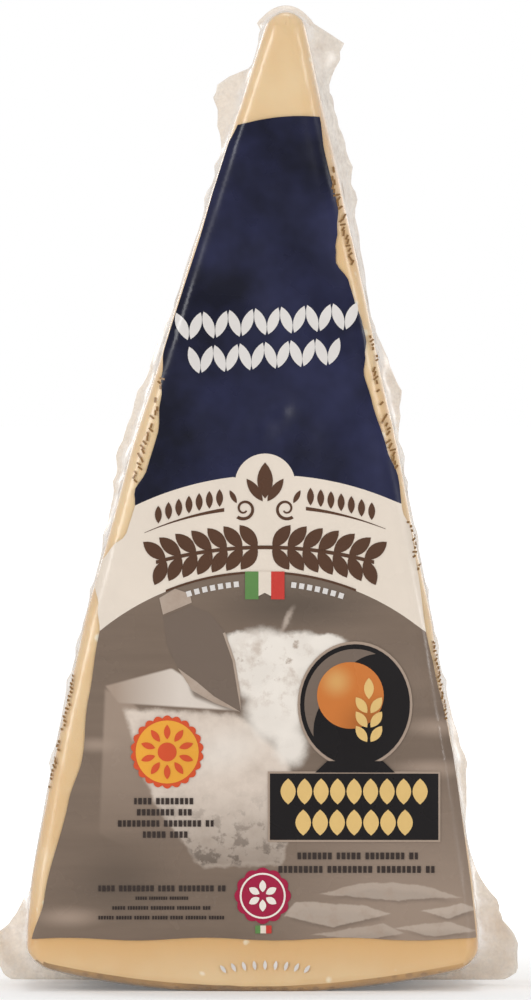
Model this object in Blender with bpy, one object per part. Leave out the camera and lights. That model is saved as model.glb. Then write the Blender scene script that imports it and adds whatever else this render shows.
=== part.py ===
"""A wedge of hard cheese in a shrink-film pack, standing on its rind with the tip up.

The pack is one closed solid. The wedge is an outline with rounded corners, drawn from front to
back, whose edges are rounded and whose sides swell. The film's seam runs round it at mid depth as
a thin fin, and spreads into an ear at each of the four corners. Lengths are in metres, +Z is up
and the front faces -Y. The origin lies on the floor, under the middle of the pack.
"""

import math

import bmesh
import bpy
from mathutils import Vector

# The wedge, seen from the front before it swells: a foot, two straight sides and a blunt tip.
TIP_HEIGHT = 0.2110
DEPTH = 0.075
FOOT_HALF = 0.0483
TIP_LEFT = 0.0036
TIP_RIGHT = 0.0103
FOOT_CORNER = 0.005
TIP_CORNER = 0.0033
CORNER_STEPS = 4
EDGE_ROUND = 0.0032
EDGE_STEPS = 3

# How far each side bulges past its straight line, and where up the side the bulge sits.
SWELL_LEFT = 0.0076
SWELL_RIGHT = 0.0042
SWELL_LOW = 0.68
FACE_DISH = 0.0009

# The rind is part of the wheel's round side, with a small flat spot to stand on.
RIM_RADIUS = 0.196
REST_CUT = 0.0005
ARC_FADE = 0.034

# The seam's fin: full width within SEAM_EDGE of mid depth, none beyond SEAM_ROOT.
SEAM_EDGE = 0.0006
SEAM_ROOT = 0.0022
SEAM_HEM = 0.0004
SEAM_CLEAR = 0.001
HEM_TOP = 0.0018
# Each flap: the height of its middle, its reach, and how far up and down it fades out.
LEFT_FLAPS = (
    (0.1960, 0.0062, 0.0040, 0.018),
    (0.1230, 0.0021, 0.027, 0.034),
    (0.0050, 0.0089, 0.017, 0.012),
)
RIGHT_FLAPS = (
    (0.2050, 0.0068, 0.0035, 0.015),
    (0.1850, 0.0024, 0.022, 0.044),
    (0.1300, 0.0028, 0.013, 0.014),
    (0.0460, 0.0019, 0.022, 0.014),
    (0.0050, 0.0089, 0.027, 0.012),
)
# The ears hang towards the back at the top and towards the front at the foot.
EAR_SWAY = 0.004
EAR_FULL = 0.009

# Spacing of the cuts that let the solid bend.
LEVEL_STEP = 0.0055
ACROSS_STEP = 0.008

FILM_COLOUR = (0.86, 0.67, 0.38, 1.0)
COLLECTION_NAME = "cheese_wedge_pack"
NODE_NAME = "vacuum_pack"
MERGE = 1e-6


def clear_scene():
    for obj in list(bpy.data.objects):
        bpy.data.objects.remove(obj, do_unlink=True)


def hump(away, up, down):
    """1 at the middle, fading to 0 at a distance of up above it or down below it."""
    share = away / (up if away > 0 else down)
    if abs(share) >= 1:
        return 0.0
    return math.cos(math.pi * share / 2) ** 2


def flap_reach(height, flaps):
    """How far the seam stands out from the side at this height."""
    return SEAM_HEM + max(reach * hump(height - middle, up, down) for middle, reach, up, down in flaps)


def side_line(height, foot, tip):
    """The straight side's x at this height."""
    return foot + (tip - foot) * height / TIP_HEIGHT


def swell(height):
    """The share of the full bulge at this height, largest below the middle."""
    share = min(max(height / TIP_HEIGHT, 0.0), 1.0)
    return math.sin(math.pi * share**SWELL_LOW)


def rim_rise(x):
    """How far the round rind has risen above its lowest line at x."""
    return RIM_RADIUS - math.sqrt(RIM_RADIUS**2 - x**2)


def swollen(point):
    """Moves a point of the straight wedge to its place in the swollen one."""
    x, y, z = point
    left = side_line(z, -FOOT_HALF, TIP_LEFT)
    right = side_line(z, FOOT_HALF, TIP_RIGHT)
    across = (x - left) / (right - left)
    bulge = swell(z)
    x += (SWELL_RIGHT * across - SWELL_LEFT * (1 - across)) * bulge
    fade = max(1 - z / ARC_FADE, 0.0)
    z += (rim_rise(min(max(x, -FOOT_HALF), FOOT_HALF)) - REST_CUT) * fade
    middle = 4 * across * (1 - across)
    y *= 1 - 2 * FACE_DISH / DEPTH * max(middle, 0.0) * bulge
    return Vector((x, y, z))


def seam_point(point):
    """Moves a point that lies on the outline at mid depth out to the film's seam."""
    x, y, z = point
    tip_middle = (TIP_LEFT + TIP_RIGHT) / 2
    if z > TIP_HEIGHT - TIP_CORNER:
        outward = Vector((x - tip_middle, 0.0, z - TIP_HEIGHT + 2 * TIP_CORNER)).normalized()
        return point + outward * HEM_TOP
    middle = (side_line(z, -FOOT_HALF, TIP_LEFT) + side_line(z, FOOT_HALF, TIP_RIGHT)) / 2
    on_left = x < middle
    reach = flap_reach(z, LEFT_FLAPS if on_left else RIGHT_FLAPS)
    out_of_foot = abs(x) > FOOT_HALF - FOOT_CORNER or z > 2 * FOOT_CORNER
    if out_of_foot:
        x += -reach if on_left else reach
    low = min(max((2 * FOOT_CORNER - z) / FOOT_CORNER, 0.0), 1.0)
    z += (min(z, SEAM_CLEAR) - z) * low
    sway = EAR_SWAY * min(reach / EAR_FULL, 1.0) ** 2
    y += sway if z > TIP_HEIGHT / 2 else -sway
    return Vector((x, y, z))


def straight_wedge():
    """The wedge as one mesh: an outline with round corners, drawn out in depth and edged round."""
    mesh = bmesh.new()
    foot = [mesh.verts.new((side * FOOT_HALF, -DEPTH / 2, 0.0)) for side in (-1, 1)]
    tip = [mesh.verts.new((x, -DEPTH / 2, TIP_HEIGHT)) for x in (TIP_RIGHT, TIP_LEFT)]
    mesh.faces.new(foot + tip)
    for corners, offset in ((foot, FOOT_CORNER), (tip, TIP_CORNER)):
        bmesh.ops.bevel(
            mesh, geom=corners, offset=offset, segments=CORNER_STEPS,
            profile=0.5, affect="VERTICES", material=-1,
        )
    drawn = bmesh.ops.extrude_face_region(mesh, geom=mesh.faces[:])
    moved = [item for item in drawn["geom"] if isinstance(item, bmesh.types.BMVert)]
    bmesh.ops.translate(mesh, verts=moved, vec=(0.0, DEPTH, 0.0))
    bmesh.ops.recalc_face_normals(mesh, faces=mesh.faces[:])
    rims = [
        edge for edge in mesh.edges
        if abs(edge.verts[0].co.y - edge.verts[1].co.y) < MERGE
    ]
    bmesh.ops.bevel(
        mesh, geom=rims, offset=EDGE_ROUND, segments=EDGE_STEPS,
        profile=0.5, affect="EDGES", material=-1,
    )
    bmesh.ops.remove_doubles(mesh, verts=mesh.verts[:], dist=MERGE)
    return mesh


def cut_across(mesh, places, normal):
    """Cuts the whole mesh at each place along the normal, adding edges and removing nothing."""
    for place in places:
        bmesh.ops.bisect_plane(
            mesh, geom=mesh.verts[:] + mesh.edges[:] + mesh.faces[:], dist=MERGE,
            plane_co=Vector(normal) * place, plane_no=normal,
        )


def evenly(first, last, step):
    count = round((last - first) / step)
    return [first + (last - first) * i / count for i in range(count + 1)]


def is_on_outline(vert):
    """True where the vertex is on the wedge's side, tip or rind and not on its front or back."""
    return abs(vert.co.y) < DEPTH / 2 - EDGE_ROUND


def pack_mesh():
    mesh = straight_wedge()
    cut_across(mesh, evenly(FOOT_CORNER, TIP_HEIGHT - TIP_CORNER, LEVEL_STEP), (0, 0, 1))
    cut_across(mesh, evenly(-5 * ACROSS_STEP, 5 * ACROSS_STEP, ACROSS_STEP), (1, 0, 0))
    cut_across(mesh, (-SEAM_ROOT, -SEAM_EDGE, SEAM_EDGE, SEAM_ROOT), (0, 1, 0))
    seam = [v for v in mesh.verts if is_on_outline(v) and abs(v.co.y) < SEAM_EDGE + MERGE]
    for vert in mesh.verts:
        vert.co = swollen(vert.co)
    for vert in seam:
        vert.co = seam_point(vert.co)
    cut_flat(mesh)
    bmesh.ops.dissolve_degenerate(mesh, dist=MERGE, edges=mesh.edges[:])
    bmesh.ops.triangulate(mesh, faces=mesh.faces[:])
    return mesh


def cut_flat(mesh):
    """Removes what lies below the floor and closes the cut with one flat face."""
    cut = bmesh.ops.bisect_plane(
        mesh, geom=mesh.verts[:] + mesh.edges[:] + mesh.faces[:], dist=MERGE,
        plane_co=(0, 0, 0), plane_no=(0, 0, 1), clear_inner=True,
    )
    rim = [item for item in cut["geom_cut"] if isinstance(item, bmesh.types.BMEdge)]
    bmesh.ops.contextual_create(mesh, geom=rim)


def film_material():
    material = bpy.data.materials.new("packed_cheese")
    material.use_nodes = True
    shader = material.node_tree.nodes["Principled BSDF"]
    shader.inputs["Base Color"].default_value = FILM_COLOUR
    shader.inputs["Roughness"].default_value = 0.3
    shader.inputs["Metallic"].default_value = 0.0
    return material


def main():
    clear_scene()
    collection = bpy.data.collections.new(COLLECTION_NAME)
    bpy.context.scene.collection.children.link(collection)
    solid = bpy.data.meshes.new(NODE_NAME)
    shape = pack_mesh()
    shape.to_mesh(solid)
    shape.free()
    solid.shade_smooth()
    solid.set_sharp_from_angle(angle=math.radians(50))
    solid.materials.append(film_material())
    collection.objects.link(bpy.data.objects.new(NODE_NAME, solid))


main()
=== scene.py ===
"""Looks of a vacuum-packed wedge of hard cheese: the cheese, its clear film and the print on it.

The wedge is worked out straight-sided and then bent into its swollen form by WedgeForm, which
also says where any point of the front and the sides lies, so that cheese, film and print fit each
other. Lengths are in metres, +Z is up and the printed front faces -Y.
"""

import math

import bmesh
import bpy
from bpy.props import FloatProperty, FloatVectorProperty, PointerProperty
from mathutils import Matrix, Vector, noise


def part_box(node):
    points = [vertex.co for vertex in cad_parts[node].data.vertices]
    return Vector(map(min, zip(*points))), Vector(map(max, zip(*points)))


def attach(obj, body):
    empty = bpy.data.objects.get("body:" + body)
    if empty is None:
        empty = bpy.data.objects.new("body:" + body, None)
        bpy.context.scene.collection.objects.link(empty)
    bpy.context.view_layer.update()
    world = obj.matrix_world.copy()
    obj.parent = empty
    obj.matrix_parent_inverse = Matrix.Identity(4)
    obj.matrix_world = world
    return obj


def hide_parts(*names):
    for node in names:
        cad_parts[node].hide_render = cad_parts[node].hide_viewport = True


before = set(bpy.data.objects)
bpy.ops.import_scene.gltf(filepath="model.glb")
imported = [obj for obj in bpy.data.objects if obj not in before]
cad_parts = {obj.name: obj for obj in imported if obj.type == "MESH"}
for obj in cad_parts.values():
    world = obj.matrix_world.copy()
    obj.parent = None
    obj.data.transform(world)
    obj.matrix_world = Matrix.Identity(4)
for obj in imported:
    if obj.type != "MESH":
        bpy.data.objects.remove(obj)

bl_info = {
    "name": "Cheese wedge pack",
    "version": (1, 0, 0),
    "blender": (4, 5, 0),
    "location": "View3D > Sidebar > Cheese Pack",
    "description": "Models a wedge of hard cheese in printed shrink film",
    "category": "Add Mesh",
}

PACK_NODE = "vacuum_pack"
BODY = "root"
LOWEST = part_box(PACK_NODE)[0]
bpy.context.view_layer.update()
MERGE = 1e-6
PRINT_SPECULAR = 0.22


def length(name, default, description):
    return FloatProperty(
        name=name, description=description, default=default, unit="LENGTH", precision=5
    )


def share(name, default, description):
    return FloatProperty(name=name, description=description, default=default, min=0.0)


def colour(name, red, green, blue, description):
    """A colour property whose default is given as the eye sees it, in steps of 255."""
    linear = [to_linear(step / 255) for step in (red, green, blue)]
    return FloatVectorProperty(
        name=name, description=description, default=linear, subtype="COLOR", min=0.0, max=1.0
    )


def to_linear(value):
    return value / 12.92 if value <= 0.04045 else ((value + 0.055) / 1.055) ** 2.4


class WedgeSizes(bpy.types.PropertyGroup):
    """The wedge before and after it swells, and the film's seam"""

    tip_height: length("Tip height", 0.2110, "Height of the straight wedge")
    depth: length("Depth", 0.0750, "From the printed front to the back")
    foot_half: length("Half foot", 0.0483, "Half of the wedge's width at the rind")
    tip_left: length("Tip left", 0.0036, "Where the left side meets the tip")
    tip_right: length("Tip right", 0.0103, "Where the right side meets the tip")
    foot_corner: length("Foot corner", 0.0050, "How far the lower corners are cut back")
    tip_corner: length("Tip corner", 0.0033, "How far the tip's corners are cut back")
    edge_round: length("Edge round", 0.0026, "Radius of the long edges")
    swell_left: length("Left swell", 0.0076, "How far the left side bulges")
    swell_right: length("Right swell", 0.0042, "How far the right side bulges")
    swell_low: share("Swell low", 0.68, "Below 1 puts the widest part of the bulge lower")
    face_dish: length("Face dish", 0.0009, "How far the front and back are drawn in")
    rim_radius: length("Rim radius", 0.1960, "Radius of the wheel's round side")
    rest_cut: length("Rest cut", 0.0005, "Depth of the flat spot on the rind")
    arc_fade: length("Arc fade", 0.0340, "Height at which the rind's curve dies out")
    seam_root: length("Seam root", 0.0034, "Half width of the film's tent along its seam")
    seam_hem: length("Seam hem", 0.0004, "Least width of the seam")
    tip_hem: length("Tip hem", 0.0018, "Width of the seam round the tip")
    film_lift: length("Film lift", 0.00016, "How far the film lies off the cheese")
    print_lift: length("Print lift", 0.00034, "How far the print lies off the cheese")
    print_step: length("Print step", 0.00006, "Distance between two layers of print")


class PackColours(bpy.types.PropertyGroup):
    """Colours of the cheese, the film and the print"""

    paste: colour("Paste", 234, 204, 157, "Cut cheese")
    paste_deep: colour("Deep paste", 222, 173, 106, "Cheese where it is denser")
    crystal: colour("Crystal", 246, 232, 206, "Small white crystals in the cheese")
    # The rind's tone is partly its own oily brown and partly painted shade, darkened for the dark
    # line along the foot.
    rind: colour("Rind", 116, 84, 52, "The wheel's hard side")
    fleck: colour("Fleck", 136, 98, 58, "Brown spots near the rind")
    film: colour("Film", 252, 242, 229, "Film that stands free of the cheese")
    navy: colour("Navy", 22, 24, 48, "Upper field of the print")
    cream: colour("Cream", 232, 219, 204, "Band across the print")
    white: colour("White", 224, 219, 215, "Frieze on the upper field")
    brown: colour("Brown", 88, 60, 44, "Ornaments on the band")
    stone: colour("Stone", 118, 102, 89, "Lower field of the print")
    stone_dark: colour("Dark stone", 92, 80, 70, "Lower field of the print in shade")
    haze: colour("Haze", 170, 150, 134, "Lower field where it is lighter")
    block: colour("Block", 200, 184, 170, "Front of the pictured block")
    block_front: colour("Block front", 222, 207, 193, "Lit front of the pictured block")
    block_top: colour("Block top", 228, 217, 206, "Top of the pictured block")
    crumb: colour("Crumb", 240, 232, 222, "Pictured crumbs")
    blade: colour("Blade", 118, 103, 92, "Pictured blade")
    black: colour("Black", 24, 20, 21, "Badge grounds")
    gold: colour("Gold", 226, 190, 122, "Badge ornaments")
    amber: colour("Amber", 236, 168, 62, "Middle of the round seal")
    orange: colour("Orange", 214, 84, 48, "Rim of the round seal")
    copper: colour("Copper", 206, 122, 58, "Disc on the dark badge")
    crimson: colour("Crimson", 164, 30, 66, "Rosette")
    green: colour("Green", 98, 140, 80, "Ribbon, left")
    red: colour("Red", 202, 64, 56, "Ribbon, right")
    ink: colour("Ink", 58, 48, 44, "Fine dark lines")
    side_ink: colour("Side ink", 140, 104, 62, "Marks on the film's sides")
    floor: colour("Floor", 244, 244, 244, "The surface under the pack")


# ---------------------------------------------------------------------------------------------
# The wedge's form


# Each flap of the seam: the height of its middle, its reach, and how far up and down it fades.
LEFT_FLAPS = (
    (0.1960, 0.0062, 0.0040, 0.018),
    (0.1230, 0.0021, 0.027, 0.034),
    (0.0050, 0.0089, 0.017, 0.012),
)
RIGHT_FLAPS = (
    (0.2050, 0.0068, 0.0035, 0.015),
    (0.1850, 0.0024, 0.022, 0.044),
    (0.1300, 0.0028, 0.013, 0.014),
    (0.0460, 0.0019, 0.022, 0.014),
    (0.0050, 0.0089, 0.027, 0.012),
)
# How far the label's edge is tucked in from the wedge's own, from the foot up: height, tuck.
LEFT_TUCKS = (
    (0.010, 0.0009), (0.020, 0.0027), (0.041, 0.0048), (0.050, 0.0060), (0.063, 0.0046),
    (0.077, 0.0036), (0.083, 0.0020), (0.088, 0.0002), (0.092, 0.0002), (0.0955, 0.0014),
    (0.0985, 0.0038), (0.1045, 0.0040), (0.108, 0.0030), (0.112, 0.0043), (0.120, 0.0044),
    (0.1275, 0.0029), (0.133, 0.0016), (0.138, 0.0006), (0.160, 0.0007), (0.181, 0.0002),
    (0.187, 0.0010),
)
RIGHT_TUCKS = (
    (0.010, 0.0), (0.044, 0.0), (0.056, 0.0006), (0.070, 0.0013), (0.077, 0.0016),
    (0.091, 0.0010), (0.100, 0.0008), (0.1033, 0.0017), (0.111, 0.0012), (0.1166, 0.0023),
    (0.1274, 0.0033), (0.133, 0.0038), (0.137, 0.0027), (0.1405, 0.0018), (0.1446, 0.0019),
    (0.149, 0.0025), (0.1533, 0.0028), (0.157, 0.0046), (0.160, 0.0040), (0.164, 0.0028),
    (0.169, 0.0017), (0.181, 0.0019), (0.188, 0.0013),
)
# Small dents and lumps in the film's front: x, height, radius, depth.
DENTS = (
    (0.0060, 0.1258, 0.0022, 0.00080), (0.0020, 0.1225, 0.0030, 0.00060),
    (-0.0010, 0.1480, 0.0034, 0.00040), (0.0165, 0.1180, 0.0050, -0.00055),
    (-0.0090, 0.1230, 0.0055, -0.00050), (0.0040, 0.1600, 0.0060, -0.00045),
    (0.0080, 0.0420, 0.0040, 0.00030), (0.0030, 0.0100, 0.0030, 0.00035),
    (0.0110, 0.0060, 0.0028, -0.00030),
)


def hump(away, up, down):
    """1 at the middle, fading to 0 at a distance of up above it or down below it."""
    part = away / (up if away > 0 else down)
    if abs(part) >= 1:
        return 0.0
    return math.cos(math.pi * part / 2) ** 2


def tallest(height, humps):
    return max(reach * hump(height - middle, up, down) for middle, reach, up, down in humps)


def between(height, table):
    """Reads a table of height and value, with soft steps from one row to the next."""
    if height <= table[0][0]:
        return table[0][1]
    for (low, first), (high, last) in zip(table, table[1:]):
        if height <= high:
            part = (height - low) / (high - low)
            return first + (last - first) * part * part * (3 - 2 * part)
    return table[-1][1]


def clamp(value, low=0.0, high=1.0):
    return min(max(value, low), high)


class WedgeForm:
    """Where the wedge's surface lies. Straight points are those before the wedge swells."""

    EAR_SWAY = 0.004
    EAR_FULL = 0.009
    SEAM_CLEAR = 0.001

    def __init__(self, sizes):
        for name in WedgeSizes.__annotations__:
            setattr(self, name, getattr(sizes, name))
        self.left_cos = math.cos(math.atan2(self.tip_left + self.foot_half, self.tip_height))
        self.right_cos = math.cos(math.atan2(self.foot_half - self.tip_right, self.tip_height))

    def left_line(self, z):
        return -self.foot_half + (self.tip_left + self.foot_half) * z / self.tip_height

    def right_line(self, z):
        return self.foot_half + (self.tip_right - self.foot_half) * z / self.tip_height

    def swell(self, z):
        return math.sin(math.pi * clamp(z / self.tip_height) ** self.swell_low)

    def rim_rise(self, x):
        x = clamp(x, -self.foot_half, self.foot_half)
        return self.rim_radius - math.sqrt(self.rim_radius**2 - x**2) - self.rest_cut

    def bent(self, point):
        """Moves a straight point to its place in the swollen wedge."""
        x, y, z = point
        left, right = self.left_line(z), self.right_line(z)
        across = (x - left) / (right - left)
        bulge = self.swell(z)
        x += (self.swell_right * across - self.swell_left * (1 - across)) * bulge
        z += self.rim_rise(x) * max(1 - z / self.arc_fade, 0.0)
        y *= self.dish(across, bulge)
        return Vector((x, y, z))

    def dish(self, across, bulge):
        middle = max(4 * across * (1 - across), 0.0)
        return 1 - 2 * self.face_dish / self.depth * middle * bulge

    def straightened(self, x, z):
        """The straight x and z, the share across and the bulge, of a place on the front."""
        rise = self.rim_rise(x)
        low = (z - rise) / (1 - rise / self.arc_fade)
        flat_z = low if low < self.arc_fade else z
        left, right = self.left_line(flat_z), self.right_line(flat_z)
        bulge = self.swell(flat_z)
        wide = right - left + (self.swell_left + self.swell_right) * bulge
        across = (x - left + self.swell_left * bulge) / wide
        return left + across * (right - left), flat_z, across, bulge

    def sides(self, z):
        """The swollen wedge's left and right x at a height."""
        bulge = self.swell(z)
        return (
            self.left_line(z) - self.swell_left * bulge,
            self.right_line(z) + self.swell_right * bulge,
        )

    def facing(self, x, z):
        """How squarely the front faces forward at x, z: 1 on the flat, 0 at the silhouette."""
        flat_x, flat_z, across, bulge = self.straightened(x, z)
        inside = min(
            (flat_x - self.left_line(flat_z)) * self.left_cos,
            (self.right_line(flat_z) - flat_x) * self.right_cos,
            flat_z,
        )
        turned = clamp(1 - inside / self.edge_round, 0.0, 0.97)
        return math.sqrt(1 - turned**2), across, bulge

    def front_y(self, x, z):
        facing, across, bulge = self.facing(x, z)
        return (self.edge_round * (1 - facing) - self.depth / 2) * self.dish(across, bulge)

    def front(self, x, z, lift):
        """A point on the film's front, lifted off the cheese by lift."""
        step = 0.0001
        y = self.front_y(x, z)
        slope_x = (self.front_y(x + step, z) - self.front_y(x - step, z)) / (2 * step)
        slope_z = (self.front_y(x, z + step) - self.front_y(x, z - step)) / (2 * step)
        normal = Vector((slope_x, -1.0, slope_z)).normalized()
        facing = self.facing(x, z)[0]
        return Vector((x, y, z)) + normal * (lift + self.front_relief(x, z) * facing)

    def front_relief(self, x, z):
        """The film's gentle hollows and its folds along the right edge."""
        place = Vector((x, 0.37, z))
        soft = noise.noise(place * 48) * 0.00030 + noise.noise(place * 120) * 0.00009
        if z < 0.016:
            among = math.exp(-(((x - 0.002) / 0.011) ** 2)) * clamp((0.016 - z) / 0.006)
            soft += noise.noise(Vector((x * 330, 0.9, z * 420))) * 0.00060 * among
        right = self.sides(z)[1] - x
        ridge = math.exp(-(((right - 0.0035) / 0.0016) ** 2))
        fold = 0.5 + 0.5 * noise.noise(Vector((0.2, 0.1, z * 70)))
        for middle, height, radius, depth in DENTS:
            away = ((x - middle) ** 2 + (z - height) ** 2) / radius**2
            if away < 9:
                soft -= depth * math.exp(-away)
        return soft + 0.00035 * ridge * fold

    def side(self, sign, y, z, lift):
        """A point on the left (-1) or right (+1) side."""
        left, right = self.sides(z)
        x = right if sign > 0 else left
        step = 0.0005
        above = self.sides(z + step)[1 if sign > 0 else 0]
        below = self.sides(z - step)[1 if sign > 0 else 0]
        normal = Vector((sign, 0.0, -sign * (above - below) / (2 * step))).normalized()
        return Vector((x, y, z)) + normal * (lift + self.side_relief(y, z) + self.pleats(y, z))

    def side_relief(self, y, z):
        """The side's soft unevenness, which the cheese and the film share."""
        place = Vector((0.11, y, z))
        return noise.noise(place * 55) * 0.00035 + noise.noise(place * 130) * 0.00010

    def pleats(self, y, z):
        """Folds in the film that run out from the seam towards the front and the back."""
        drift = z + 0.25 * abs(y) * noise.noise(Vector((3.1, y * 30, z * 18)))
        fold = noise.noise(Vector((0.4, y * 25, drift * 260)))
        away = clamp(1 - abs(y) / 0.034)
        return max(fold - 0.05, 0.0) * 0.0017 * away

    def relief(self, flat_y, place):
        """The relief at a bent place, and how much it belongs to the front or the back."""
        x, y, z = place
        front = clamp((self.edge_round - self.depth / 2 - flat_y) / self.edge_round)
        back = clamp((self.edge_round - self.depth / 2 + flat_y) / self.edge_round)
        faced = front + back
        return self.front_relief(x, z) * faced + self.side_relief(y, z) * (1 - faced), faced


def straight_wedge(form, steps):
    """The straight wedge as one mesh: a round-cornered outline, drawn in depth and edged."""
    mesh = bmesh.new()
    front = -form.depth / 2
    foot = [mesh.verts.new((sign * form.foot_half, front, 0.0)) for sign in (-1, 1)]
    tip = [mesh.verts.new((x, front, form.tip_height)) for x in (form.tip_right, form.tip_left)]
    mesh.faces.new(foot + tip)
    for corners, offset in ((foot, form.foot_corner), (tip, form.tip_corner)):
        bmesh.ops.bevel(
            mesh, geom=corners, offset=offset, segments=2 * steps,
            profile=0.5, affect="VERTICES", material=-1,
        )
    drawn = bmesh.ops.extrude_face_region(mesh, geom=mesh.faces[:])
    moved = [item for item in drawn["geom"] if isinstance(item, bmesh.types.BMVert)]
    bmesh.ops.translate(mesh, verts=moved, vec=(0.0, form.depth, 0.0))
    bmesh.ops.recalc_face_normals(mesh, faces=mesh.faces[:])
    rims = [e for e in mesh.edges if abs(e.verts[0].co.y - e.verts[1].co.y) < MERGE]
    bmesh.ops.bevel(
        mesh, geom=rims, offset=form.edge_round, segments=steps,
        profile=0.5, affect="EDGES", material=-1,
    )
    bmesh.ops.remove_doubles(mesh, verts=mesh.verts[:], dist=MERGE)
    return mesh


def cut_across(mesh, places, normal):
    """Cuts the whole mesh at each place along the normal, removing nothing."""
    for place in places:
        bmesh.ops.bisect_plane(
            mesh, geom=mesh.verts[:] + mesh.edges[:] + mesh.faces[:], dist=MERGE,
            plane_co=Vector(normal) * place, plane_no=normal,
        )


def smooth_tip(mesh, form):
    """Evens out the spot at the tip where the rounded edges run into each other."""
    reach, rounds = 0.0022, 10
    middle = (form.tip_left + form.tip_right) / 2
    height = form.tip_height - form.edge_round
    near = [
        vert for vert in mesh.verts
        if abs(vert.co.y) > form.depth / 2 - 2 * form.edge_round
        and math.hypot(vert.co.x - middle, vert.co.z - height) < reach
    ]
    for _ in range(rounds):
        bmesh.ops.smooth_vert(mesh, verts=near, factor=0.5, use_axis_y=True)


def evenly(first, last, step):
    count = max(round((last - first) / step), 1)
    return [first + (last - first) * i / count for i in range(count + 1)]


def cut_flat(mesh):
    """Removes what lies below the floor and closes the cut."""
    cut = bmesh.ops.bisect_plane(
        mesh, geom=mesh.verts[:] + mesh.edges[:] + mesh.faces[:], dist=MERGE,
        plane_co=(0, 0, 0), plane_no=(0, 0, 1), clear_inner=True,
    )
    rim = [item for item in cut["geom_cut"] if isinstance(item, bmesh.types.BMEdge)]
    bmesh.ops.contextual_create(mesh, geom=rim)


def finished(mesh, name, materials):
    """Turns a bmesh into a piece of the pack that rides on its body."""
    data = bpy.data.meshes.new(name)
    mesh.to_mesh(data)
    mesh.free()
    data.shade_smooth()
    for material in materials:
        data.materials.append(material)
    piece = bpy.data.objects.new(name, data)
    bpy.context.scene.collection.objects.link(piece)
    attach(piece, BODY)
    return piece


# ---------------------------------------------------------------------------------------------
# Materials


class Nodes:
    """A short way to add and join the nodes of one tree."""

    def __init__(self, tree):
        self.tree = tree

    def add(self, kind, values=(), **settings):
        node = self.tree.nodes.new(kind)
        for name, value in settings.items():
            setattr(node, name, value)
        for name, value in dict(values).items():
            socket = node.inputs[name]
            if isinstance(value, bpy.types.NodeSocket):
                self.tree.links.new(value, socket)
            else:
                socket.default_value = value
        return node

    def noise(self, vector, scale, detail=3.0, roughness=0.5):
        values = {"Vector": vector, "Scale": scale, "Detail": detail, "Roughness": roughness}
        return self.add("ShaderNodeTexNoise", values).outputs["Fac"]

    def ramp(self, value, low, high, to_low=0.0, to_high=1.0):
        values = {
            "Value": value, "From Min": low, "From Max": high, "To Min": to_low, "To Max": to_high
        }
        return self.add("ShaderNodeMapRange", values).outputs["Result"]

    def math(self, operation, first, second):
        node = self.add("ShaderNodeMath", {0: first, 1: second}, operation=operation)
        return node.outputs["Value"]

    def mix(self, factor, first, second):
        node = self.add("ShaderNodeMix", data_type="RGBA")
        for index, value in ((0, factor), (6, first), (7, second)):
            if isinstance(value, bpy.types.NodeSocket):
                self.tree.links.new(value, node.inputs[index])
            else:
                node.inputs[index].default_value = value
        return node.outputs[2]


def new_material(name):
    material = bpy.data.materials.new(name)
    material.use_nodes = True
    return material, Nodes(material.node_tree), material.node_tree.nodes["Principled BSDF"]


def rgba(value):
    return (*value, 1.0)


def uneven_gloss_group():
    """A node group: the soft unevenness of tight film, as a roughness and a height."""
    group = bpy.data.node_groups.get("uneven_gloss")
    if group:
        return group
    group = bpy.data.node_groups.new("uneven_gloss", "ShaderNodeTree")
    faces = group.interface
    faces.new_socket(name="Smoothest", in_out="INPUT", socket_type="NodeSocketFloat")
    faces.new_socket(name="Roughest", in_out="INPUT", socket_type="NodeSocketFloat")
    faces.new_socket(name="Roughness", in_out="OUTPUT", socket_type="NodeSocketFloat")
    faces.new_socket(name="Height", in_out="OUTPUT", socket_type="NodeSocketFloat")
    nodes = Nodes(group)
    start = nodes.add("NodeGroupInput")
    end = nodes.add("NodeGroupOutput")
    place = nodes.add("ShaderNodeTexCoord").outputs["Object"]
    patch = nodes.noise(place, 70.0, 4.0)
    rough = nodes.ramp(patch, 0.35, 0.65, start.outputs["Smoothest"], start.outputs["Roughest"])
    broad = nodes.noise(place, 110.0, 2.0)
    fine = nodes.noise(place, 420.0, 2.0)
    height = nodes.math("ADD", broad, nodes.math("MULTIPLY", fine, 0.25))
    group.links.new(rough, end.inputs["Roughness"])
    group.links.new(height, end.inputs["Height"])
    return group


def film_finish(nodes, shader, smoothest=0.16, roughest=0.34, strength=0.25):
    """Gives a shader the gloss and faint ripples of tight film."""
    gloss = nodes.tree.nodes.new("ShaderNodeGroup")
    gloss.node_tree = uneven_gloss_group()
    gloss.inputs["Smoothest"].default_value = smoothest
    gloss.inputs["Roughest"].default_value = roughest
    bump = nodes.add(
        "ShaderNodeBump",
        {"Height": gloss.outputs["Height"], "Strength": strength, "Distance": 0.0004},
    )
    nodes.tree.links.new(gloss.outputs["Roughness"], shader.inputs["Roughness"])
    nodes.tree.links.new(bump.outputs["Normal"], shader.inputs["Normal"])


def inked(nodes, shader, tone, *finish):
    """Gives a shader its tone of ink and the finish of the film over it."""
    nodes.tree.links.new(tone, shader.inputs["Base Color"])
    shader.inputs["Specular IOR Level"].default_value = PRINT_SPECULAR
    film_finish(nodes, shader, *finish)


def printed(name, value, vary):
    """Ink under glossy film: one colour that varies by the share vary."""
    material, nodes, shader = new_material(name)
    place = nodes.add("ShaderNodeTexCoord").outputs["Object"]
    patch = nodes.ramp(nodes.noise(place, 60.0, 5.0, 0.6), 0.3, 0.7)
    darker = rgba([channel * (1 - vary) for channel in value])
    lighter = rgba([min(channel * (1 + vary) + 0.25 * vary * vary, 1.0) for channel in value])
    inked(nodes, shader, nodes.mix(patch, darker, lighter))
    return material


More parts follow.
